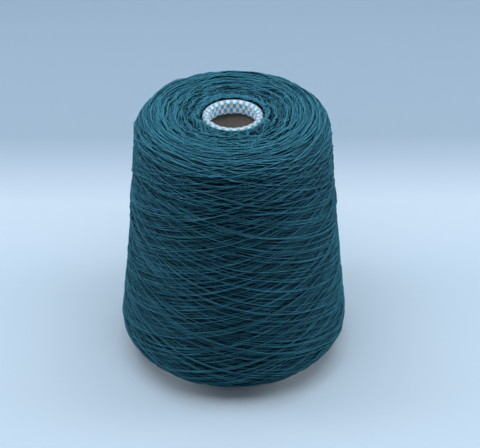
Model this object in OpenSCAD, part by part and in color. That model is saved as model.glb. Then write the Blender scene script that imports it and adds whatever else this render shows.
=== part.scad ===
// A cone of cross-wound yarn on a paper winding cone, standing on its base.
// Millimetres, +Z up, origin at the centre of the ring that it stands on.

/* [Winding cone] */
// Height of the winding cone from its base to the top of its nose
cone_h = 170; // [150:1:205]
// Outer diameter of the covered cone, measured at its base
cone_base_d = 71.5; // [64:0.5:90]
// Half angle of the cone's taper, in degrees (5.95 is 5 degrees 57 minutes)
cone_angle = 5.95; // [4.2:0.05:7.1]
// Thickness of the rolled paperboard wall
board_t = 2.6; // [1.5:0.1:3.2]
// Thickness of the printed cover paper
paper_t = 0.25; // [0.15:0.05:0.4]
// Thickness of the round rim at the nose, cover paper included
rim_t = 3.6; // [3.4:0.1:5.5]
// How far the rim's lip reaches down the throat, from the top of the nose
lip_h = 8; // [5:0.5:18]
// Bare board between the cover's lower edge and the ground
cover_gap = 1; // [0.5:0.25:2]

/* [Yarn package] */
// Level thickness of the winding, from the cone to its side
wind_t = 39.5; // [25:0.5:60]
// Height at which the winding starts on the cone
wind_foot = 5.5; // [5:0.5:25]
// How far below the top of the nose the winding ends on the cone
wind_drop = 1.5; // [1:0.25:20]
// Rise of the top face from the nose to the crown
crown_rise = 3.5; // [0:0.25:5]
// Rise of the underside from the cone to the foot's round edge
foot_rise = 1.5; // [0:0.25:5]
// Level width of the shoulder's round edge
shoulder_w = 14; // [6:0.5:20]
// Height of the shoulder's round edge
shoulder_h = 13; // [6:0.5:25]
// Level width of the foot's round edge
foot_w = 21.5; // [4:0.5:24]
// Height of the foot's round edge
foot_h = 15; // [4:0.5:25]
// How far the middle of the side is drawn in
waist = 0.8; // [0:0.1:3]

/* [Transfer tail] */
// Diameter of the yarn
yarn_d = 0.5; // [0.4:0.1:1]
// Turns of the yarn's starting end on the bare strip below the winding
tail_turns = 4; // [1:1:4]
// Slack between the tail's turns and what they lie next to
tail_slack = 0.1; // [0.02:0.02:0.2]

/* [Hidden] */
$fn = 180;
arc_steps = 10;
side_steps = 6;
below = 1;

// Radius of the cone's outside at a height, under a skin of some thickness.
function cone_r(z, skin = 0) = cone_base_d / 2 - z * tan(cone_angle) - skin / cos(cone_angle);

// The rim is a circle that touches the taper outside and the throat inside.
rim_r = rim_t / 2;
rim_z = cone_h - rim_r;
rim_x = cone_r(rim_z, rim_r);
throat_r = rim_x - rim_r;
lip_z = cone_h - lip_h;

// Filled outline of the cone from a height up to its rim, under a skin.
module cone_outline(skin, bottom) {
  round_r = rim_r - skin;
  polygon([
    [0, bottom],
    [cone_r(bottom, skin), bottom],
    [rim_x + round_r * cos(cone_angle), rim_z + round_r * sin(cone_angle)],
    [rim_x, rim_z],
    [0, rim_z]
  ]);
  translate([rim_x, rim_z])
    circle(r = round_r);
}

// The throat, which the lip surrounds, under a skin.
module throat_outline(skin) {
  translate([0, lip_z])
    square([throat_r + skin, cone_h]);
}

// The hollow inside the wall, from below the base up to the lip.
module hollow_outline() {
  wall = paper_t + board_t;
  polygon([
    [0, -below],
    [cone_r(-below, wall), -below],
    [cone_r(lip_z, wall), lip_z],
    [0, lip_z]
  ]);
}

// The rolled paperboard wall, with its end turned in to a round rim and a lip.
module board_cone() {
  color("dimgray")
    rotate_extrude()
      difference() {
        cone_outline(paper_t, 0);
        throat_outline(paper_t);
        hollow_outline();
      }
}

// The printed paper round the outside, over the rim and down the throat.
module printed_cover() {
  color("lightskyblue")
    rotate_extrude()
      difference() {
        cone_outline(0, cover_gap);
        throat_outline(0);
        difference() {
          cone_outline(paper_t, 0);
          throat_outline(paper_t);
        }
      }
}

// Heights of the winding.
wind_top = cone_h - wind_drop;
crown_z = wind_top + crown_rise;
shoulder_z = crown_z - shoulder_h;
foot_z = wind_foot + foot_rise;
ankle_z = foot_z + foot_h;

// Radius of the winding's side between the ankle and the shoulder.
function side_r(z) =
  let (along = (z - ankle_z) / (shoulder_z - ankle_z))
    cone_r(z) + wind_t - 4 * waist * along * (1 - along);

// Points on an arc of an ellipse.
function arc(centre_r, centre_z, wide, high, from, to) = [
  for (i = [0:arc_steps])
    let (a = from + (to - from) * i / arc_steps)
      [centre_r + wide * cos(a), centre_z + high * sin(a)]
];

// Outline of the winding: the underside, foot, side, shoulder and top face.
module package_outline() {
  side = [
    for (i = [1:side_steps - 1])
      let (z = ankle_z + (shoulder_z - ankle_z) * i / side_steps)
        [side_r(z), z]
  ];
  difference() {
    polygon(concat(
      [[rim_x, wind_foot], [cone_r(wind_foot), wind_foot]],
      arc(side_r(ankle_z) - foot_w, ankle_z, foot_w, foot_h, -90, 0),
      side,
      arc(side_r(shoulder_z) - shoulder_w, shoulder_z, shoulder_w, shoulder_h, 0, 90),
      [[cone_r(wind_top), wind_top], [rim_x, wind_top]]
    ));
    cone_outline(0, 0);
  }
}

// The yarn, cross-wound on the covered cone.
module yarn_package() {
  color("teal")
    rotate_extrude()
      package_outline();
}

// The yarn's starting end, wound on the strip that the package leaves bare.
module transfer_tail() {
  pitch = yarn_d + tail_slack;
  first_z = cover_gap + tail_slack + yarn_d / 2;
  color("teal")
    for (i = [0:tail_turns - 1]) {
      turn_z = first_z + i * pitch;
      rotate_extrude()
        translate([cone_r(turn_z, -(tail_slack + yarn_d / 2)), turn_z])
          circle(d = yarn_d);
    }
}

board_cone();
printed_cover();
yarn_package();
transfer_tail();
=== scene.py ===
"""The looks of a cone of teal yarn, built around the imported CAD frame.

Lengths are in millimetres until an object is made, which turns them into metres. Inside the materials,
noise scales and distances count in the scene's own metres.
"""

import math

import bpy
import numpy as np
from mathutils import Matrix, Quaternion, Vector


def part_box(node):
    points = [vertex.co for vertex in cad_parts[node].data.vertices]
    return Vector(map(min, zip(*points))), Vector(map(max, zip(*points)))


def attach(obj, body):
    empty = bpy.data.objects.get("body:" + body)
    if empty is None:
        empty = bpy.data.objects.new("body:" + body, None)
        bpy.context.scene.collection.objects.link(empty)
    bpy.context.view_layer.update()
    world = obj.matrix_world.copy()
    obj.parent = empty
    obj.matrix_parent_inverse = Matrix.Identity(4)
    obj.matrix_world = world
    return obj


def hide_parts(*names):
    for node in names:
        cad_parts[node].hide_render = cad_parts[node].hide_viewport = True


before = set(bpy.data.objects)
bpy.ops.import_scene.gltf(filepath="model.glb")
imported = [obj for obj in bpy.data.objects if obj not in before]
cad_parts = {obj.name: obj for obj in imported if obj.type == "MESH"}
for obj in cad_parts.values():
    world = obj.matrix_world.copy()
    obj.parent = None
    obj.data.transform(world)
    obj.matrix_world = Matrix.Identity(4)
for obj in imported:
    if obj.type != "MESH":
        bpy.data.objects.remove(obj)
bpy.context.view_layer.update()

MM = 0.001
TURN = 2 * math.pi


# ---------------------------------------------------------------- camera

CAMERA_DISTANCE = 788.1
CAMERA_TILT = math.radians(35.76)
CAMERA_ROLL = math.radians(-0.42)
CAMERA_SHIFT = 0.0134
LENS, SENSOR = 93.75, 36
TARGET_HEIGHT = 89.6


def add_camera():
    """The camera looks down at the object from straight in front, framed a little off its middle."""
    data = bpy.data.cameras.new("camera")
    data.sensor_width = SENSOR
    data.lens = LENS
    data.shift_x = CAMERA_SHIFT
    camera = bpy.data.objects.new("camera", data)
    bpy.context.scene.collection.objects.link(camera)
    target = Vector((0, 0, TARGET_HEIGHT))
    back = Vector((0, -math.cos(CAMERA_TILT), math.sin(CAMERA_TILT)))
    camera.location = (target + back * CAMERA_DISTANCE) * MM
    camera.rotation_mode = "QUATERNION"
    look = (-back).to_track_quat("-Z", "Y")
    camera.rotation_quaternion = look @ Quaternion((0, 0, 1), CAMERA_ROLL)
    bpy.context.scene.camera = camera


add_camera()


# ---------------------------------------------------------------- shapes from the frame

def section(name):
    """(radius, height) of a turned CAD node's corners, where it crosses the XZ plane."""
    corners = np.array([v.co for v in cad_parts[name].data.vertices]) / MM
    cut = corners[(abs(corners[:, 1]) < 0.001) & (corners[:, 0] > 0)]
    return np.unique(cut[:, ::2].round(4), axis=0)


def along(points):
    """Length of a path up to each of its points."""
    steps = np.linalg.norm(np.diff(points, axis=0), axis=1)
    return np.concatenate([[0], np.cumsum(steps)])


def eased(t):
    """A share from 0 to 1 that starts and ends gently."""
    return t * t * (3 - 2 * t)


def smoothed(values, width):
    """Running mean of an array's rows, with its ends held."""
    half = int(width) // 2
    padded = np.pad(values, [(half, half)] + [(0, 0)] * (values.ndim - 1), mode="edge")
    total = np.cumsum(np.insert(padded, 0, 0, axis=0), axis=0)
    return (total[2 * half + 1:] - total[:-2 * half - 1]) / (2 * half + 1)


class Paper:
    """Sizes of the printed cover: its taper, its rim and its throat."""

    corners = section("printed_cover")
    throat = corners[:, 0].min()
    lip_z, rim_z = corners[corners[:, 0] < throat + 0.01][:, 1][[0, -1]]
    rim = corners[:, 1].max() - rim_z
    rim_x = throat + rim
    foot = corners[corners[:, 0].argmax()]
    thick = section("board_cone")[:, 0].min() - throat
    run = math.hypot(foot[0] - rim_x, rim_z - foot[1])
    angle = math.atan2(foot[0] - rim_x, rim_z - foot[1]) - math.asin(rim / run)

    @classmethod
    def radius(cls, z):
        """Outside radius of the taper at a height."""
        return cls.foot[0] - (z - cls.foot[1]) * math.tan(cls.angle)


# ---------------------------------------------------------------- winding surface

CELL = 0.25          # step along the profile
COLUMNS = 1500       # steps round the cone
SIDE_R = 65          # about the radius of the winding's side


class Winding:
    """The outside of the yarn package as a profile from the nose, over the side, to the base."""

    corners = section("yarn_package")
    middle = (corners.min(0) + corners.max(0)) / 2
    on_taper = corners[:, 0] < Paper.radius(corners[:, 1]) + 0.1
    ends = corners[on_taper][np.argsort(corners[on_taper][:, 1])][[-1, 0]]
    free = corners[~on_taper]
    bearing = np.arctan2(*(free - middle).T[::-1])
    outline = np.concatenate([ends[:1], free[np.argsort(-bearing)], ends[1:]])
    reach = along(outline)
    at = np.arange(0, reach[-1], CELL)
    path = np.stack([np.interp(at, reach, outline[:, 0]), np.interp(at, reach, outline[:, 1])], axis=1)
    path = smoothed(path, 7)
    way = np.gradient(path, axis=0)
    way /= np.linalg.norm(way, axis=1)[:, None]
    out = np.stack([-way[:, 1], way[:, 0]], axis=1)
    crown = path[:, 1].argmax() * CELL

    @classmethod
    def place(cls, turn, s, height):
        """Points and outward directions at turns (radians), profile lengths and heights above it."""
        r, z, nr, nz = (np.interp(s, cls.at, v) for v in (*cls.path.T, *cls.out.T))
        c, d = np.cos(turn), np.sin(turn)
        reach = r + height * nr
        points = np.stack([reach * c, reach * d, z + height * nz], axis=1)
        return points, np.stack([nr * c, nr * d, nz], axis=1)

    @classmethod
    def radius(cls, s):
        """Radius of the profile at a length along it."""
        return np.interp(s, cls.at, cls.path[:, 0])

    @classmethod
    def at_height(cls, z):
        """Length along the profile at which the side has a height."""
        below = cls.at > cls.crown
        return np.interp(-z, -cls.path[below][:, 1], cls.at[below])

    @classmethod
    def rows(cls, s, margin=0):
        """Steps of the profile at lengths along it, kept a margin away from its ends."""
        return np.clip((s / CELL).round().astype(int), margin, len(cls.at) - 1 - margin)


def near_nose(s, reach):
    """1 at the nose, falling to 0 at a length along the profile."""
    return np.clip(1 - s / reach, 0, 1)


def lumps(rng, around, down):
    """Smooth random values over the winding, with so many lumps round it and down its profile."""
    coarse = rng.normal(size=(around, down))
    u = np.arange(COLUMNS) * around / COLUMNS
    v = np.linspace(0, down - 1.001, len(Winding.at))  # stops just short, as j + 1 is read too
    i, j = u.astype(int), v.astype(int)
    a, b = eased(u - i)[:, None], eased(v - j)[None, :]
    i2 = (i + 1) % around
    low = coarse[i][:, j] * (1 - a) + coarse[i2][:, j] * a
    high = coarse[i][:, j + 1] * (1 - a) + coarse[i2][:, j + 1] * a
    return low * (1 - b) + high * b


def low_lumps(ground, around, down):
    """The ground smoothed over so many millimetres round the side and down the profile."""
    wide = int(around / (TURN * SIDE_R / COLUMNS))
    rounded = smoothed(smoothed(ground.T, down / CELL), down / CELL).T
    twice = np.concatenate([rounded[-2 * wide:], rounded, rounded[:2 * wide]])
    return smoothed(smoothed(twice, wide), wide)[2 * wide:-2 * wide]


RIM_SWELL = 0.95         # how far the winding stands up against the rim
RIM_SWELL_REACH = 9
FOOT_TUCK = 1.3          # how far it is drawn in between two heights at the foot
FOOT_TUCK_Z = (24, 7.2)


def swell():
    """How far the winding stands proud of the plain profile: up against the rim, and less at the foot."""
    rim = RIM_SWELL * near_nose(Winding.at, RIM_SWELL_REACH) ** 1.5
    ankle, sole = (Winding.at_height(z) for z in FOOT_TUCK_Z)
    foot = np.sin(np.clip((Winding.at - ankle) / (sole - ankle), 0, 1) * math.pi)
    return rim - FOOT_TUCK * foot


SWELL = swell()


# ---------------------------------------------------------------- laying a strand

YARN_D = 0.5
SQUASH = 0.96            # a strand's height over its width, pressed under the winding's tension
BRIDGE = 4               # span that a taut strand bridges between high points
TAUT_BEND = 5            # lengths over which a taut strand, a slack one and any one bends
SLACK_BEND = 3
LEAST_BEND = 2.5
TAUT = 0.45              # how taut a strand lies, from 0 for slack to 1
SEAT = 0.3               # height of its middle over what it lies on, over its diameter
RIDGE = ((-1, 0.14), (0, 0.32), (1, 0.14))  # rise of the ground across it, over its diameter


class Strand:
    """One length of yarn: columns it passes, profile lengths and heights there, and its shade."""

    def __init__(self, columns, s, height, tone):
        self.columns, self.s, self.height, self.tone = columns, s, height, tone


def spread(values, width):
    """Highest value within a width of each point of a line."""
    half = max(1, int(width) // 2)
    padded = np.pad(values, half, mode="edge")
    best = values.copy()
    for k in range(0, 2 * half + 1, max(1, half // 4)):
        best = np.maximum(best, padded[k:k + len(values)])
    return best


def lay(ground, columns, s, dive=0.0, stiff=1.0):
    """Rests a strand on what is wound already, and raises the ground along it. Returns its heights."""
    col = columns % COLUMNS
    row = Winding.rows(s, margin=1)
    under = np.maximum(ground[col, row], np.maximum(ground[col, row - 1], ground[col, row + 1]))
    step = TURN * Winding.radius(s.mean()) / COLUMNS / stiff
    taut = smoothed(spread(under, BRIDGE / step), TAUT_BEND / step)
    slack = smoothed(under, SLACK_BEND / step)
    height = smoothed(TAUT * taut + (1 - TAUT) * slack, LEAST_BEND / step) + SEAT * YARN_D - dive
    for k, rise in RIDGE:
        r = np.clip(row + k, 0, len(Winding.at) - 1)
        ground[col, r] = np.maximum(ground[col, r], height + rise * YARN_D)
    return height


# ---------------------------------------------------------------- strokes on the side

STROKES = 700
STROKE_TURNS = 1.6       # turns round the cone in one stroke
DRIFT_TURNS = 0.0016     # slow and random changes to that, which fan neighbouring strokes out
SPREAD_TURNS = 0.0022
JUMP_EVERY = 9           # how often a stroke steps aside, and by how much at most
JUMP_TURNS = 0.35
PAST_CROWN = (6, 46)     # where strokes turn back: past the crown, and round the foot
PAST_FOOT = (-8, 16)
FOOT_TURN_Z = 6
TURN_BACK = 0.15         # share of a stroke in which it turns back, at each end
WANDER = 0.5             # how far a stroke strays from its helix
WANDER_WAVES = (4, 9, 17)


def stroke_path(rng, start, end, count):
    """Profile lengths along one stroke, which runs level where it turns back."""
    t = np.linspace(0, 1, count)
    inward = np.minimum(t, 1 - t)
    pace = eased(np.clip(inward / TURN_BACK, 0, 1))
    gone = np.cumsum(pace) / pace.sum()
    stray = sum(rng.normal() * WANDER * np.sin(t * f + rng.uniform(0, TURN)) for f in WANDER_WAVES)
    return start + (end - start) * gone + stray * np.minimum(1, inward * 8)


def wind_side(ground, rng):
    """The last strokes of the winding: one strand that runs up and down the side."""
    strands = []
    column = 0
    foot = Winding.at_height(FOOT_TURN_Z)
    spacing = rng.normal(size=STROKES)
    end = foot
    for k in range(STROKES):
        start = end
        if k % 2 == 0:
            end = Winding.crown + rng.uniform(*PAST_CROWN)
        else:
            end = foot - rng.uniform(*PAST_FOOT)
        drift = math.sin(k * 0.11) * 0.5 + 0.5
        turns = STROKE_TURNS + DRIFT_TURNS * drift + SPREAD_TURNS * spacing[k]
        if k % JUMP_EVERY == JUMP_EVERY // 2:
            turns += rng.uniform(-JUMP_TURNS, JUMP_TURNS)
        count = int(turns * COLUMNS)
        s = stroke_path(rng, start, end, count)
        columns = column + np.arange(count)
        height = lay(ground, columns, s)
        strands.append(Strand(columns, s, height, rng.uniform()))
        column += count
    return strands


# ---------------------------------------------------------------- arcs on the faces

TOP_ARCS = 5600
UNDER_ARCS = 260
TOP_PAST_CROWN = 34      # how far the top face's arcs go on, past the crown and down the side
UNDER_Z = 9              # height at which the underside's arcs start
TOP_WAVE = 0.9           # how much arcs sway and wriggle on either face
UNDER_WAVE = 0.5
UNDER_LOOSE = 0.3        # how loose the underside's arcs are, on the scale of loose arcs at the nose
LOOSE_REACH = 32
LIMP = 0.65              # how much less stiff the loosest arc is
ARC_LENGTH = (16, 62)
RIM_GAP = (0.8, 2.4)     # nearest that arcs come to the rim
BASE_GAP = 0.4           # nearest that they come to the cone under the package
DIVE = 2.2               # depth that an arc's ends dive to, and the share of it where they start
DIVE_FROM = 0.72


def arc_path(rng, bend, middle, length, columns, t, loose, wave):
    """Profile lengths along an arc: it sways with its neighbours, wriggles on its own and sags."""
    row = int(np.clip(middle / CELL, 0, len(Winding.at) - 1))
    sway = smoothed(bend[columns % COLUMNS, row], 5) * wave * (0.12 + 1.2 * loose)
    wriggles = ((3, 0.10), (7, 0.10 + 0.12 * loose), (17, 0.09 + 0.26 * loose))
    own = sum(
        rng.normal() * size * wave * np.sin(t * f * length / 20 + rng.uniform(0, TURN))
        for f, size in wriggles
    )
    lean = rng.normal() * (0.5 + 0.5 * loose) * t
    sag = rng.uniform(0.2, 1.6) * t * t
    gap = rng.uniform(*RIM_GAP)
    s = middle + lean + sway + own + sag
    return np.minimum(gap + abs(s - gap), Winding.at[-1] - BASE_GAP)


def wind_face(ground, rng, count, first, last, wave, least_loose):
    """Short arcs where the strokes beneath turn back at a face: each rises out and dives in again."""
    strands = []
    bend = lumps(rng, 44, 70)
    for _ in range(count):
        middle = rng.uniform(first, last)
        radius = float(Winding.radius(middle))
        length = rng.uniform(*ARC_LENGTH) * (0.45 + radius / 60)
        half = int(length / (TURN * radius) * COLUMNS / 2)
        t = np.linspace(-1, 1, 2 * half + 1)
        columns = int(rng.integers(COLUMNS)) + COLUMNS + np.arange(-half, half + 1)
        loose = max(least_loose, near_nose(middle, LOOSE_REACH))
        s = arc_path(rng, bend, middle, length, columns, t, loose, wave)
        dive = DIVE * np.clip((abs(t) - DIVE_FROM) / (1 - DIVE_FROM), 0, 1) ** 2
        height = lay(ground, columns, s, dive, stiff=1 - LIMP * loose)
        strands.append(Strand(columns, s, height, rng.uniform()))
    return strands


# ---------------------------------------------------------------- the whole winding

SIDE_LUMPS = 0.06        # unevenness of what the strands are laid on, and how much more at the nose
NOSE_LUMPS = 0.85
NOSE_LUMPS_REACH = 26
CRUMPLE = 0.6            # fine unevenness that is kept round the nose
CRUMPLE_REACH = 20
SETTLE = 0.3             # depth of the winding's mean surface under the CAD's
COARSE_LEVEL = (10, 6.5)  # lumps wider than this are levelled, round the cone and down the profile
FINE_LEVEL = (5, 3)
FINE_FROM = (5, 10)      # where the levelling turns fine near the nose
FINE_FADE = 26           # length past the top face's arcs in which it turns coarse again
NOSE_CAP = (0.8, 0.35)   # most height at the rim, and how fast that grows away from it


def mean_surface(ground):
    """What is taken off the wound ground to bring its mean surface to the CAD's: finer on the top face."""
    arcs_end = Winding.crown + TOP_PAST_CROWN
    fine = np.interp(Winding.at, (*FINE_FROM, arcs_end, arcs_end + FINE_FADE), (0, 1, 1, 0))
    return low_lumps(ground, *COARSE_LEVEL) * (1 - fine) + low_lumps(ground, *FINE_LEVEL) * fine


def wind():
    """All strands that show, settled so that their mean surface is just under the CAD's."""
    rng = np.random.default_rng(11)
    ground = lumps(rng, 40, 100) * (SIDE_LUMPS + NOSE_LUMPS * near_nose(Winding.at, NOSE_LUMPS_REACH))
    strands = wind_face(ground, rng, TOP_ARCS, 0, Winding.crown + TOP_PAST_CROWN, TOP_WAVE, 0)
    under = Winding.at_height(UNDER_Z)
    strands += wind_face(ground, rng, UNDER_ARCS, under, Winding.at[-1], UNDER_WAVE, UNDER_LOOSE)
    strands += wind_side(ground, rng)
    crumple = lumps(rng, 110, 170) * CRUMPLE * near_nose(Winding.at, CRUMPLE_REACH)
    level = mean_surface(ground) + SETTLE - SWELL - crumple
    cap, growth = NOSE_CAP
    for strand in strands:
        height = strand.height - level[strand.columns % COLUMNS, Winding.rows(strand.s)]
        strand.height = np.minimum(height, cap + growth * strand.s)
    return strands, ground - level


# ---------------------------------------------------------------- meshes

def add_object(name, mesh, material):
    """Links a mesh as a piece with one material."""
    piece = bpy.data.objects.new(name, mesh)
    bpy.context.scene.collection.objects.link(piece)
    mesh.materials.append(material)
    return piece


def fill_mesh(name, points, faces, maps):
    """A smooth mesh from points in millimetres, faces as lists of corners, and named UV maps."""
    mesh = bpy.data.meshes.new(name)
    corners = np.concatenate([f.ravel() for f in faces])
    sizes = np.concatenate([np.full(len(f), f.shape[1]) for f in faces])
    mesh.vertices.add(len(points))
    mesh.vertices.foreach_set("co", (points * MM).astype(np.float32).ravel())
    mesh.loops.add(len(corners))
    mesh.loops.foreach_set("vertex_index", corners.astype(np.int32))
    mesh.polygons.add(len(sizes))
    mesh.polygons.foreach_set("loop_start", (np.cumsum(sizes) - sizes).astype(np.int32))
    mesh.polygons.foreach_set("use_smooth", np.ones(len(sizes), bool))
    mesh.update(calc_edges=True)
    for label, values in maps.items():
        layer = mesh.uv_layers.new(name=label)
        layer.data.foreach_set("uv", values.astype(np.float32).ravel())
    mesh.validate()
    return mesh


def paired(u, v):
    """A grid of (u, v) from the values along its two sides."""
    return np.stack(np.meshgrid(u, v, indexing="ij"), axis=2)


def turned(profile, around):
    """A profile of (radius, height) turned into a grid of points round the axis."""
    turn = np.arange(around) * TURN / around
    r, z = profile.T
    return np.stack([np.outer(np.cos(turn), r), np.outer(np.sin(turn), r), np.tile(z, (around, 1))], axis=2)


def lathe_mesh(name, grid, uv):
    """A closed mesh from a grid of points: rows run round the axis, columns close on themselves."""
    around, down = grid.shape[:2]
    i, j = np.meshgrid(np.arange(around), np.arange(down), indexing="ij")
    i2, j2 = (i + 1) % around, (j + 1) % down
    corners = [i * down + j, i * down + j2, i2 * down + j2, i2 * down + j]
    faces = np.stack(corners, axis=2).reshape(-1, 4)
    maps = {}
    for label, values in uv.items():
        rows = np.stack([values[:-1, :-1], values[:-1, 1:], values[1:, 1:], values[1:, :-1]], axis=2)
        maps[label] = rows.reshape(-1, 2)
    return fill_mesh(name, grid.reshape(-1, 3), [faces], maps)


def tube_rings(points, outward, width, sides):
    """Rings of corners round a path, flattened against the surface that it lies on."""
    ahead = np.gradient(points, axis=0)
    ahead /= np.linalg.norm(ahead, axis=1)[:, None]
    up = outward - (outward * ahead).sum(1)[:, None] * ahead
    up /= np.linalg.norm(up, axis=1)[:, None]
    across = np.cross(ahead, up)
    turn = np.arange(sides) * TURN / sides
    lift = up[:, None, :] * (np.cos(turn) * SQUASH)[None, :, None]
    reach = across[:, None, :] * (np.sin(turn) / SQUASH)[None, :, None]
    return points[:, None, :] + (lift + reach) * (width / 2)[:, None, None]


def strand_map(start, end, caps, sides):
    """Where each span's corners are: millimetres along their strand, and share of the way round it."""
    side = np.broadcast_to(np.arange(sides), (len(start), sides))
    low, high = start[:, None] + 0 * side, end[:, None] + 0 * side
    spans = np.stack([low, side, low, side + 1, high, side + 1, high, side], axis=2).reshape(-1, 2)
    return np.concatenate([spans / (1, sides), np.zeros((caps * sides, 2))])


ROW_FILL = 0.88          # share of a row in the bake map that its faces fill
CAP_R = 0.3              # radius of a cap in its cell of the bake map


def tube_bake_map(spans, caps, sides):
    """A place in the bake map for every face: rows of spans, then one row of end caps."""
    side = np.arange(sides)
    per_row = max(1, int(math.sqrt(spans * 1.6)))
    rows = -(-spans // per_row) + 1
    step = ROW_FILL / sides
    left = (np.arange(spans) % per_row)[:, None] + 0 * side
    low = (np.arange(spans) // per_row)[:, None] + side * ROW_FILL / sides
    right, high = left + 1, low + step
    walls = np.stack([left, low, left, high, right, high, right, low], axis=2).reshape(-1, 2)
    turn = side * TURN / sides
    outline = np.stack([np.cos(turn), np.sin(turn)], axis=1) * CAP_R + 0.5
    cell = np.stack([np.arange(caps) / caps, np.full(caps, rows - 1.0)], axis=1)
    ends = (cell[:, None, :] + outline[None] / (caps, 1)) / (1, rows)
    return np.concatenate([walls / (per_row, rows), ends.reshape(-1, 2)])


def tube_mesh(name, tubes, sides):
    """A mesh of closed tubes. Each is (points, outward, width, tone)."""
    rings = np.concatenate([tube_rings(*tube[:3], sides) for tube in tubes])
    counts = np.array([len(tube[0]) for tube in tubes])
    ends = np.cumsum(counts) - 1
    starts = ends - counts + 1
    joined = np.setdiff1d(np.arange(counts.sum()), ends)
    j = np.arange(sides)
    k = (j + 1) % sides
    a, b = joined[:, None] * sides, (joined + 1)[:, None] * sides
    walls = np.stack([a + j, a + k, b + k, b + j], axis=2).reshape(-1, 4)
    caps = np.concatenate([starts[:, None] * sides + j[::-1], ends[:, None] * sides + j])
    length = np.concatenate([along(tube[0]) for tube in tubes])
    maps = {
        "strand": strand_map(length[joined], length[joined + 1], len(caps), sides),
        "OFBake": tube_bake_map(len(joined), len(caps), sides),
    }
    mesh = fill_mesh(name, rings.reshape(-1, 3), [walls, caps], maps)
    tone = mesh.attributes.new("tone", "FLOAT", "POINT")
    shades = np.concatenate([np.repeat(tube[3], sides) for tube in tubes])
    tone.data.foreach_set("value", shades.astype(np.float32))
    return mesh


# ---------------------------------------------------------------- yarn

SIDES = 5
ARC_SPACING = 1.35       # length between a tube's rings, on an arc and on a stroke
STROKE_SPACING = 2.4
FACES_PER_PIECE = 190_000
UNEVEN_WIDTH = 0.07
OWN_TONE = 0.42          # what a tone is made of: the strand's own, spots along it, and painted light where it stands proud, painted shade where it is sunk
SPOT_TONE = 0.34
PROUD_PAINTED_LIGHT = 0.45
TONE_SHIFT = -0.06
SUNK, PROUD_RANGE = -0.65, 0.95  # height that counts as not proud, and from there to fully proud
TOP_PAINTED_LIGHT = 0.25          # painted light added on the top face, fading out over a length past the crown
TOP_PAINTED_LIGHT_REACH = 30
NOSE_PAINTED_SHADE = 1.2      # painted shade near the nose: strands there differ more, and those under this tone darken
NOSE_PIVOT = 0.92
NOSE_PAINTED_SHADE_REACH = 16


def strand_tone_and_painted_light(strand, keep, rng):
    """How light a strand is: its own tone and spots, with painted light where it stands proud and on the top
    face, and painted shade where it is sunk and at the nose.
    """
    s = strand.s[keep]
    above = strand.height[keep] - np.interp(s, Winding.at, SWELL)
    proud = np.clip((above - SUNK) / PROUD_RANGE, 0, 1)
    spots = rng.uniform(size=len(keep))
    tone = OWN_TONE * strand.tone + SPOT_TONE * spots + PROUD_PAINTED_LIGHT * proud + TONE_SHIFT
    tone = tone + TOP_PAINTED_LIGHT * np.clip(1 - (s - Winding.crown) / TOP_PAINTED_LIGHT_REACH, 0, 1)
    return tone + NOSE_PAINTED_SHADE * (strand.tone - NOSE_PIVOT) * near_nose(s, NOSE_PAINTED_SHADE_REACH)


def strand_tube(strand, spacing, rng):
    """A strand as a tube with a ring about every so many millimetres."""
    step = TURN * float(Winding.radius(strand.s.mean())) / COLUMNS
    rings = max(4, int(len(strand.s) * step / spacing))
    keep = np.unique(np.linspace(0, len(strand.s) - 1, rings).astype(int))
    turn = strand.columns[keep] * TURN / COLUMNS
    points, outward = Winding.place(turn, strand.s[keep], strand.height[keep])
    width = smoothed(YARN_D * (1 + UNEVEN_WIDTH * rng.normal(size=len(keep))), 3)
    return points, outward, width, strand_tone_and_painted_light(strand, keep, rng)


def add_strands(strands, material):
    """The strands as pieces that each stay under a number of triangles."""
    rng = np.random.default_rng(23)
    groups, rings = [[]], 0
    for strand in strands:
        spacing = ARC_SPACING if len(strand.s) < COLUMNS / 2 else STROKE_SPACING
        tube = strand_tube(strand, spacing, rng)
        rings += len(tube[0])
        if rings * SIDES * 2 > FACES_PER_PIECE:
            groups.append([])
            rings = len(tube[0])
        groups[-1].append(tube)
    for k, group in enumerate(groups):
        piece = add_object(f"yarn_strands_{k:02d}", tube_mesh("yarn_strands", group, SIDES), material)
        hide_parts("yarn_package")
        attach(piece, "root")


CORE_STEP = 4            # columns and rows from one corner of the core to the next
CORE_UNDER = 1.5         # depth under the smoothed ground, and the least under the CAD's surface
CORE_LEAST = 1.2
CORE_LOW, CORE_HIGH = (8, 2), (160, 0.5)  # heights of its inner wall, and gaps there to the cone


def add_core(ground, material):
    """The yarn under the strands, whose painted shade shows as the dark of the gaps."""
    keep = slice(2, len(Winding.at) - 2, CORE_STEP)
    columns = np.arange(0, COLUMNS, CORE_STEP)
    depth = np.minimum(smoothed(ground, 5)[columns][:, keep] - CORE_UNDER, -CORE_LEAST)
    turn = np.repeat(columns * TURN / COLUMNS, depth.shape[1])
    s = np.tile(Winding.at[keep], len(columns))
    outside, _ = Winding.place(turn, s, depth.ravel())
    outside = outside.reshape(len(columns), -1, 3)
    inner_wall = np.array([[Paper.radius(z) + gap, z] for z, gap in (CORE_LOW, CORE_HIGH)])
    grid = np.concatenate([outside, turned(inner_wall, len(columns))], axis=1)
    u = np.arange(grid.shape[0] + 1) / grid.shape[0]
    length = along(outside[0])
    v = np.concatenate([length, length[-1] + (30, 190, 220)])
    mesh = lathe_mesh("yarn_core", grid, {"OFBake": paired(u, v / v[-1])})
    piece = add_object("yarn_core", mesh, material)
    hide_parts("yarn_package")
    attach(piece, "root")


TAIL_TURNS = 4.6
TAIL_LEVEL_TURNS = 4     # turns on the bare strip, before the tail climbs under the package
TAIL_CLIMB = 3.2
TAIL_SLACK = 0.1
TAIL_POINTS = 1100


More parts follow.
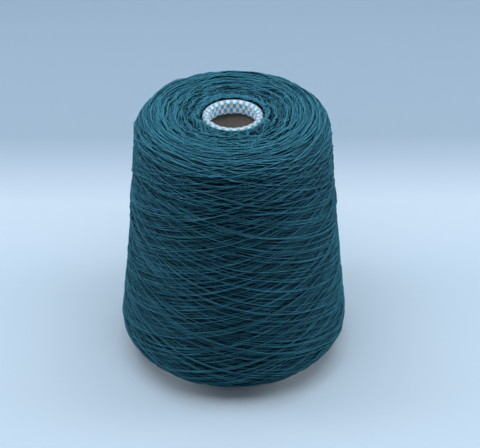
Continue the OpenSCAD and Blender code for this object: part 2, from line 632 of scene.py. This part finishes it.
def add_tail(material):
    """The starting end: turns on the bare strip, whose last turn climbs under the package."""
    rng = np.random.default_rng(3)
    low, high = (corner.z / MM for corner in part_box("transfer_tail"))
    t = np.linspace(0, 1, TAIL_POINTS)
    done = t * TAIL_TURNS
    climb = np.clip(done - TAIL_LEVEL_TURNS, 0, 1)
    level = low + YARN_D / 2 + (high - low - YARN_D) * np.minimum(done / TAIL_LEVEL_TURNS, 1)
    stray = sum(rng.normal() * 0.04 * np.sin(t * f) for f in (40, 90, 150))
    z = level + climb ** 2 * TAIL_CLIMB + stray
    reach = Paper.radius(z) + TAIL_SLACK + YARN_D / 2 + climb * 0.4
    turn = done * TURN + 1
    points = np.stack([reach * np.cos(turn), reach * np.sin(turn), z], axis=1)
    outward = np.stack([np.cos(turn), np.sin(turn), 0 * t], axis=1)
    tubes = [(points, outward, np.full(len(t), YARN_D), np.full(len(t), 0.5))]
    piece = add_object("yarn_tail", tube_mesh("yarn_tail", tubes, 8), material)
    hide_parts("transfer_tail")
    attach(piece, "root")


# ---------------------------------------------------------------- printed paper

CHECKS_ROUND = 48
CHECK_HIGH = 2.8
SEAM = math.radians(221)
SEAM_WIDE = 0.16         # half the glued overlap, in radians
SEAM_RISE = 0.22
PLEATS = ((31, 0.05), (53, 0.06), (67, 0.04))  # waves round the paper, and their heights
WAVES = ((3, 0.05), (5, 0.04), (8, 0.025))
PAPER_EASE = 0.02        # gap between the paper's inside and the board
PAPER_AROUND = 600


def paper_profile():
    """The paper's outside, from its lower edge up the taper, over the rim and down the throat."""
    p = Paper
    share = np.linspace(0, 1, 40)[:-1, None] ** 0.5
    touch = np.array([p.rim_x + p.rim * math.cos(p.angle), p.rim_z + p.rim * math.sin(p.angle)])
    taper = p.foot + (touch - p.foot) * share
    arc = np.linspace(p.angle, math.pi, 26)
    rim = np.stack([p.rim_x + p.rim * np.cos(arc), p.rim_z + p.rim * np.sin(arc)], axis=1)
    throat = np.stack([np.full(14, p.throat), np.linspace(p.rim_z, p.lip_z, 15)[1:]], axis=1)
    return np.concatenate([taper, rim, throat])


def ripples(rng, turn, parts):
    """A sum of waves round the paper that never goes below its plain surface."""
    return sum(size * (1 + np.sin(turn * n + rng.uniform(0, TURN))) for n, size in parts)


def paper_rise(rng, turn, past_crest, down):
    """How far the paper stands out: pleats that deepen into the throat, slack waves and the seam."""
    from_seam = np.abs((turn - SEAM + math.pi) % TURN - math.pi)
    pleats = ripples(rng, turn, PLEATS)
    waves = ripples(rng, turn, WAVES)
    overlap = SEAM_RISE * np.clip(1 - from_seam / SEAM_WIDE, 0, 1) ** 0.25
    rise = waves[:, None] * np.clip(down * 8, 0.1, 1) + pleats[:, None] * down ** 1.5
    return rise + overlap[:, None] * np.clip((past_crest + 6) / 4, 0, 1)


def add_paper(material):
    """The printed paper: taper, rolled rim and throat, with pleats, a glued seam and a torn edge."""
    rng = np.random.default_rng(5)
    outer = paper_profile()
    way = np.gradient(outer, axis=0)
    way /= np.linalg.norm(way, axis=1)[:, None]
    out = np.stack([way[:, 1], -way[:, 0]], axis=1)
    length = along(outer)
    past_crest = length - length[outer[:, 1].argmax()]
    down = np.clip(past_crest / past_crest[-1], 0, 1)

    turn = np.arange(PAPER_AROUND) * TURN / PAPER_AROUND
    rise = paper_rise(rng, turn, past_crest, down)
    torn = smoothed(rng.normal(size=PAPER_AROUND), 5) * 0.5 + np.sin(turn * 2 + 1) * 0.35
    skins = []
    for height in (rise, np.full_like(rise, PAPER_EASE - Paper.thick)):
        r = outer[:, 0] + out[:, 0] * height
        z = outer[:, 1] + out[:, 1] * height + torn[:, None] * down ** 4
        skins.append(np.stack([r * np.cos(turn)[:, None], r * np.sin(turn)[:, None], z], axis=2))
    grid = np.concatenate([skins[0], skins[1][:, ::-1]], axis=1)

    share = np.arange(PAPER_AROUND + 1) / PAPER_AROUND
    rows = np.concatenate([past_crest, past_crest[::-1], past_crest[:1]]) / CHECK_HIGH
    across = np.concatenate([length, length[-1] + 1 + along(outer[::-1])])
    across = np.append(across, across[-1] + 1)
    maps = {"print": paired(share * CHECKS_ROUND, rows), "OFBake": paired(share, across / across[-1])}
    piece = add_object("cone_paper", lathe_mesh("cone_paper", grid, maps), material)
    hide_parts("printed_cover")
    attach(piece, "root")


# ---------------------------------------------------------------- shader nodes

def node(tree, kind, inputs=None, **settings):
    """Adds a shader node. Each input is a value or another node's output."""
    made = tree.nodes.new(kind)
    for name, value in settings.items():
        setattr(made, name, value)
    for name, value in (inputs or {}).items():
        if isinstance(value, bpy.types.NodeSocket):
            tree.links.new(value, made.inputs[name])
        else:
            made.inputs[name].default_value = value
    return made


def math_node(tree, operation, first, second=0.0):
    """Adds a math node and returns its output."""
    return node(tree, "ShaderNodeMath", {0: first, 1: second}, operation=operation).outputs[0]


def mix_colour(tree, factor, first, second):
    """Adds a colour mix and returns its output."""
    made = node(tree, "ShaderNodeMix", {0: factor, 6: first, 7: second}, data_type="RGBA")
    return made.outputs[2]


def noise(tree, place, scale, detail=2.0, rough=0.5):
    """Adds a noise texture and returns its value."""
    inputs = {"Vector": place, "Scale": scale, "Detail": detail, "Roughness": rough}
    return node(tree, "ShaderNodeTexNoise", inputs).outputs["Fac"]


def ranged(tree, value, low, high, start=0.0, end=1.0):
    """Turns a value that runs from start to end into one from low to high, and returns it."""
    inputs = {"Value": value, "From Min": start, "From Max": end, "To Min": low, "To Max": high}
    return node(tree, "ShaderNodeMapRange", inputs).outputs["Result"]


def object_place(tree):
    """The place on the object, in metres."""
    return node(tree, "ShaderNodeTexCoord").outputs["Object"]


def new_material(name):
    """A material, its tree and its Principled shader."""
    material = bpy.data.materials.new(name)
    material.use_nodes = True
    tree = material.node_tree
    return material, tree, tree.nodes["Principled BSDF"]


def finish_surface(tree, shader, colour, rough, height, strength, distance):
    """Joins colour, roughness and the bump of a height to a shader."""
    tree.links.new(colour, shader.inputs["Base Color"])
    tree.links.new(rough, shader.inputs["Roughness"])
    bump = node(tree, "ShaderNodeBump", {"Height": height, "Strength": strength, "Distance": distance})
    tree.links.new(bump.outputs["Normal"], shader.inputs["Normal"])


# ---------------------------------------------------------------- materials

YARN_DEEP, YARN_BRIGHT = (0.0013, 0.014, 0.026, 1), (0.025, 0.120, 0.170, 1)
# the core's colours: the yarn darkened into painted shade for the gaps
CORE_PAINTED_SHADE_DEEP, CORE_PAINTED_SHADE_BRIGHT = (0.001, 0.009, 0.016, 1), (0.004, 0.028, 0.042, 1)
SHEEN = (0.25, 0.62, 0.75, 1)
TWIST = 1.9              # length of one twist of the yarn's plies
# the paper's ink and plain colours: darker on the rim, where light falls strongest, and paler down the
# throat as painted light against its shade
RIM_INK = (0.026, 0.15, 0.265, 1), (0.05, 0.20, 0.33, 1)
THROAT_INK_PAINTED_LIGHT = (0.05, 0.33, 0.60, 1), (0.09, 0.42, 0.72, 1)
RIM_PAPER = (0.29, 0.27, 0.24, 1), (0.37, 0.35, 0.32, 1)
THROAT_PAPER_PAINTED_LIGHT = (0.68, 0.63, 0.57, 1), (0.82, 0.78, 0.71, 1)
BOARD_DARK, BOARD_PALE = (0.17, 0.148, 0.13, 1), (0.52, 0.465, 0.415, 1)
FLECK = (0.05, 0.043, 0.038, 1)


def yarn_material():
    """Plied yarn: twisted plies, fine fibres, a slightly uneven dye, and painted light and shade from the
    strand's tone and its crest.
    """
    material, tree, shader = new_material("teal_yarn")
    uv = node(tree, "ShaderNodeUVMap", uv_map="strand").outputs["UV"]
    split = node(tree, "ShaderNodeSeparateXYZ", {"Vector": uv})
    twist = math_node(tree, "MULTIPLY", split.outputs["X"], TURN / TWIST)
    lap = math_node(tree, "MULTIPLY", split.outputs["Y"], TURN * 2)
    ply = math_node(tree, "SINE", math_node(tree, "ADD", twist, lap))
    place = object_place(tree)
    fibre = noise(tree, place, 1400.0, 4.0, 0.7)
    dye = noise(tree, place, 55.0)
    # the tone carries painted light and shade as well as the strand's own tone
    tone = node(tree, "ShaderNodeAttribute", attribute_name="tone").outputs["Fac"]
    # painted light and shade across each strand: lighter along its crest, darker on its flanks and underside
    crest_painted_light = math_node(tree, "COSINE", math_node(tree, "MULTIPLY", split.outputs["Y"], TURN))
    shade = math_node(tree, "SUBTRACT", tone, 0.50)
    for part, weight in ((ply, 0.10), (fibre, 0.50), (dye, 0.15), (crest_painted_light, 0.25)):
        shade = math_node(tree, "ADD", shade, math_node(tree, "MULTIPLY", part, weight))
    colour = mix_colour(tree, shade, YARN_DEEP, YARN_BRIGHT)
    rough = ranged(tree, fibre, 0.68, 0.92)
    relief = math_node(tree, "ADD", math_node(tree, "MULTIPLY", ply, 0.5), fibre)
    finish_surface(tree, shader, colour, rough, relief, 0.35, 0.0001)
    shader.inputs["Specular IOR Level"].default_value = 0.08
    shader.inputs["Sheen Weight"].default_value = 0.04
    shader.inputs["Sheen Roughness"].default_value = 0.45
    shader.inputs["Sheen Tint"].default_value = SHEEN
    return material


def core_material():
    """Yarn deep in the gaps: fine rounds of strands, coloured far darker than the strands as painted shade.
    """
    material, tree, shader = new_material("yarn_in_gaps")
    place = object_place(tree)
    split = node(tree, "ShaderNodeSeparateXYZ", {"Vector": place})
    warp = math_node(tree, "MULTIPLY", noise(tree, place, 60.0), 0.01)
    level = math_node(tree, "ADD", split.outputs["Z"], warp)
    rounds = math_node(tree, "SINE", math_node(tree, "MULTIPLY", level, TURN / (YARN_D * MM)))
    fibre = noise(tree, place, 1400.0, 3.0)
    shade = math_node(tree, "MULTIPLY", math_node(tree, "ADD", rounds, 1.0), 0.25)
    shade = math_node(tree, "ADD", shade, math_node(tree, "MULTIPLY", fibre, 0.5))
    colour = mix_colour(tree, shade, CORE_PAINTED_SHADE_DEEP, CORE_PAINTED_SHADE_BRIGHT)
    finish_surface(tree, shader, colour, ranged(tree, fibre, 0.8, 1.0), shade, 0.6, 0.0004)
    shader.inputs["Specular IOR Level"].default_value = 0.1
    return material


def paper_material():
    """Cover paper printed with a plain check and rubbed by handling, darker on the rim and paler down the
    throat as painted light against its shade.
    """
    material, tree, shader = new_material("check_paper")
    uv = node(tree, "ShaderNodeUVMap", uv_map="print").outputs["UV"]
    place = object_place(tree)
    ragged = node(tree, "ShaderNodeTexNoise", {"Vector": place, "Scale": 700.0, "Detail": 2.0})
    shift = {0: ragged.outputs["Color"], "Scale": 0.16}
    shaken = node(tree, "ShaderNodeVectorMath", shift, operation="SCALE").outputs[0]
    moved = node(tree, "ShaderNodeVectorMath", {0: uv, 1: shaken}, operation="ADD").outputs[0]
    two_tone = {"Vector": moved, "Scale": 1.0, "Color1": (1, 1, 1, 1), "Color2": (0, 0, 0, 1)}
    checker = node(tree, "ShaderNodeTexChecker", two_tone).outputs["Color"]
    grain = noise(tree, place, 1500.0, 4.0)
    blotch = noise(tree, place, 160.0)
    down = node(tree, "ShaderNodeSeparateXYZ", {"Vector": uv}).outputs["Y"]
    inside = ranged(tree, down, 0.0, 1.0, 0.2, 1.5)
    rim_ink = mix_colour(tree, grain, *RIM_INK)
    throat_ink_painted_light = mix_colour(tree, grain, *THROAT_INK_PAINTED_LIGHT)
    rim_paper = mix_colour(tree, blotch, *RIM_PAPER)
    throat_paper_painted_light = mix_colour(tree, blotch, *THROAT_PAPER_PAINTED_LIGHT)
    # painted light down the throat, which is in shade; the rim keeps the darker colours
    ink = mix_colour(tree, inside, rim_ink, throat_ink_painted_light)
    plain = mix_colour(tree, inside, rim_paper, throat_paper_painted_light)
    colour = mix_colour(tree, checker, ink, plain)
    rubbed = ranged(tree, grain, 0.0, 0.3, 0.56, 0.72)
    colour = mix_colour(tree, rubbed, colour, plain)
    finish_surface(tree, shader, colour, ranged(tree, grain, 0.38, 0.62), grain, 0.25, 0.0001)
    return material


def board_material():
    """Raw grey winding board: pressed fibres, uneven pulp and dark flecks."""
    material, tree, shader = new_material("raw_board")
    place = object_place(tree)
    drawn = node(tree, "ShaderNodeMapping", {"Vector": place, "Scale": (1.0, 1.0, 0.3)}).outputs["Vector"]
    fibre = noise(tree, drawn, 900.0, 5.0, 0.65)
    cloud = noise(tree, place, 90.0)
    spots = node(tree, "ShaderNodeTexVoronoi", {"Vector": place, "Scale": 420.0}).outputs["Distance"]
    fleck = ranged(tree, spots, 0.75, 0.0, 0.10, 0.16)
    tone = math_node(tree, "MULTIPLY", math_node(tree, "ADD", fibre, cloud), 0.5)
    colour = mix_colour(tree, tone, BOARD_DARK, BOARD_PALE)
    colour = mix_colour(tree, fleck, colour, FLECK)
    finish_surface(tree, shader, colour, ranged(tree, fibre, 0.75, 0.98), fibre, 0.5, 0.0003)
    shader.inputs["Specular IOR Level"].default_value = 0.2
    return material


# ---------------------------------------------------------------- floor and light

FLOOR_FLAT = 3000        # radius of the level floor, and of its curve up to the wall
FLOOR_BEND = 1200
FLOOR_AROUND = 96
FLOOR_FRONT, FLOOR_BACK = -0.3, 0.7  # depths between which the floor's colour changes, in metres
# painted light and shade on the floor: paler in front, a pale band behind the cone, darker to the back
FLOOR_PAINTED_SHADE_STOPS = (
    (0.0, (0.330, 0.388, 0.452, 1)),
    (0.36, (0.284, 0.342, 0.400, 1)),
    (0.455, (0.318, 0.368, 0.428, 1)),
    (0.55, (0.200, 0.256, 0.318, 1)),
    (0.80, (0.228, 0.297, 0.374, 1)),
)
UNDER_FOOT_PAINTED_LIGHT = (0.80, 0.84, 0.88, 1)
UNDER_FOOT_PAINTED_LIGHT_REACH = (0.075, 0.057)  # distances, in metres, over which the floor turns paler: painted light under the foot
FAR_GLOW = (0.62, 0.77, 0.92, 1)
FAR_GLOW_REACH = (0.6, 1.9)
LAMP = (0.88, 0.95, 1.0)
SKY = (0.70, 0.84, 1.0, 1)


def floor_material():
    """A pale blue matt table with painted light and shade: darker towards the back, paler under the foot as
    painted light in its shadow, glowing faintly far off.
    """
    material, tree, shader = new_material("pale_floor")
    place = object_place(tree)
    depth = node(tree, "ShaderNodeSeparateXYZ", {"Vector": place}).outputs["Y"]
    back = ranged(tree, depth, 0.0, 1.0, FLOOR_FRONT, FLOOR_BACK)
    ramp = node(tree, "ShaderNodeValToRGB", {"Fac": back})
    for k, (spot, colour) in enumerate(FLOOR_PAINTED_SHADE_STOPS):
        stop = ramp.color_ramp.elements[k] if k < 2 else ramp.color_ramp.elements.new(spot)
        stop.position = spot
        stop.color = colour
    away = node(tree, "ShaderNodeVectorMath", {0: place}, operation="LENGTH").outputs["Value"]
    # painted light under the foot, which thins its shadow on the floor
    under = ranged(tree, away, 0.0, 0.45, *UNDER_FOOT_PAINTED_LIGHT_REACH)
    colour = mix_colour(tree, under, ramp.outputs["Color"], UNDER_FOOT_PAINTED_LIGHT)
    tree.links.new(colour, shader.inputs["Base Color"])
    shader.inputs["Emission Color"].default_value = FAR_GLOW
    glow = ranged(tree, away, 0.0, 0.45, *FAR_GLOW_REACH)
    tree.links.new(glow, shader.inputs["Emission Strength"])
    rough = ranged(tree, noise(tree, place, 900.0), 0.55, 0.7)
    tree.links.new(rough, shader.inputs["Roughness"])
    shader.inputs["Specular IOR Level"].default_value = 0.05
    return material


def add_floor():
    """A wide round floor at the height that the cone stands on, curving up to a low wall far away."""
    flat = np.stack([np.linspace(1, FLOOR_FLAT, 40), np.zeros(40)], axis=1)
    bend = np.linspace(0, math.pi / 2, 16)[1:]
    wall = np.stack([FLOOR_FLAT + FLOOR_BEND * np.sin(bend), FLOOR_BEND - FLOOR_BEND * np.cos(bend)], axis=1)
    profile = np.concatenate([flat, wall])
    n = len(profile)
    i, j = np.meshgrid(np.arange(FLOOR_AROUND), np.arange(n - 1), indexing="ij")
    i2 = (i + 1) % FLOOR_AROUND
    faces = np.stack([i * n + j, i * n + j + 1, i2 * n + j + 1, i2 * n + j], axis=2).reshape(-1, 4)
    middle = (np.arange(FLOOR_AROUND) * n)[None, ::-1]
    points = turned(profile, FLOOR_AROUND).reshape(-1, 3)
    mesh = fill_mesh("floor", points, [faces[:, ::-1], middle], {})
    add_object("floor", mesh, floor_material())


def add_light(name, place, target, size, power):
    """A soft rectangular lamp."""
    data = bpy.data.lights.new(name, "AREA")
    data.shape = "RECTANGLE"
    data.size, data.size_y = (x * MM for x in size)
    data.energy = power
    data.color = LAMP
    lamp = bpy.data.objects.new(name, data)
    bpy.context.scene.collection.objects.link(lamp)
    lamp.location = Vector(place) * MM
    lamp.rotation_mode = "QUATERNION"
    lamp.rotation_quaternion = (Vector(target) - Vector(place)).to_track_quat("-Z", "Y")


def add_lights():
    """A large lamp overhead, two fills at the sides, and a dim sky."""
    middle = (0, 0, 90)
    add_light("overhead", (0, -40, 1000), middle, size=(1000, 1000), power=22.0)
    for side in (-1, 1):
        add_light(f"side_{side}", (side * 850, 90, 330), middle, size=(400, 500), power=6.5)
    world = bpy.data.worlds.new("sky")
    world.use_nodes = True
    sky = world.node_tree.nodes["Background"]
    sky.inputs["Color"].default_value = SKY
    sky.inputs["Strength"].default_value = 0.03
    bpy.context.scene.world = world


# ---------------------------------------------------------------- scene

add_floor()
add_lights()
bpy.context.scene.view_settings.view_transform = "Standard"

strands, ground = wind()
yarn = yarn_material()
add_strands(strands, yarn)
add_core(ground, core_material())
add_tail(yarn)
add_paper(paper_material())
board = board_material()
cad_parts["board_cone"].data.materials.clear()
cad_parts["board_cone"].data.materials.append(board)
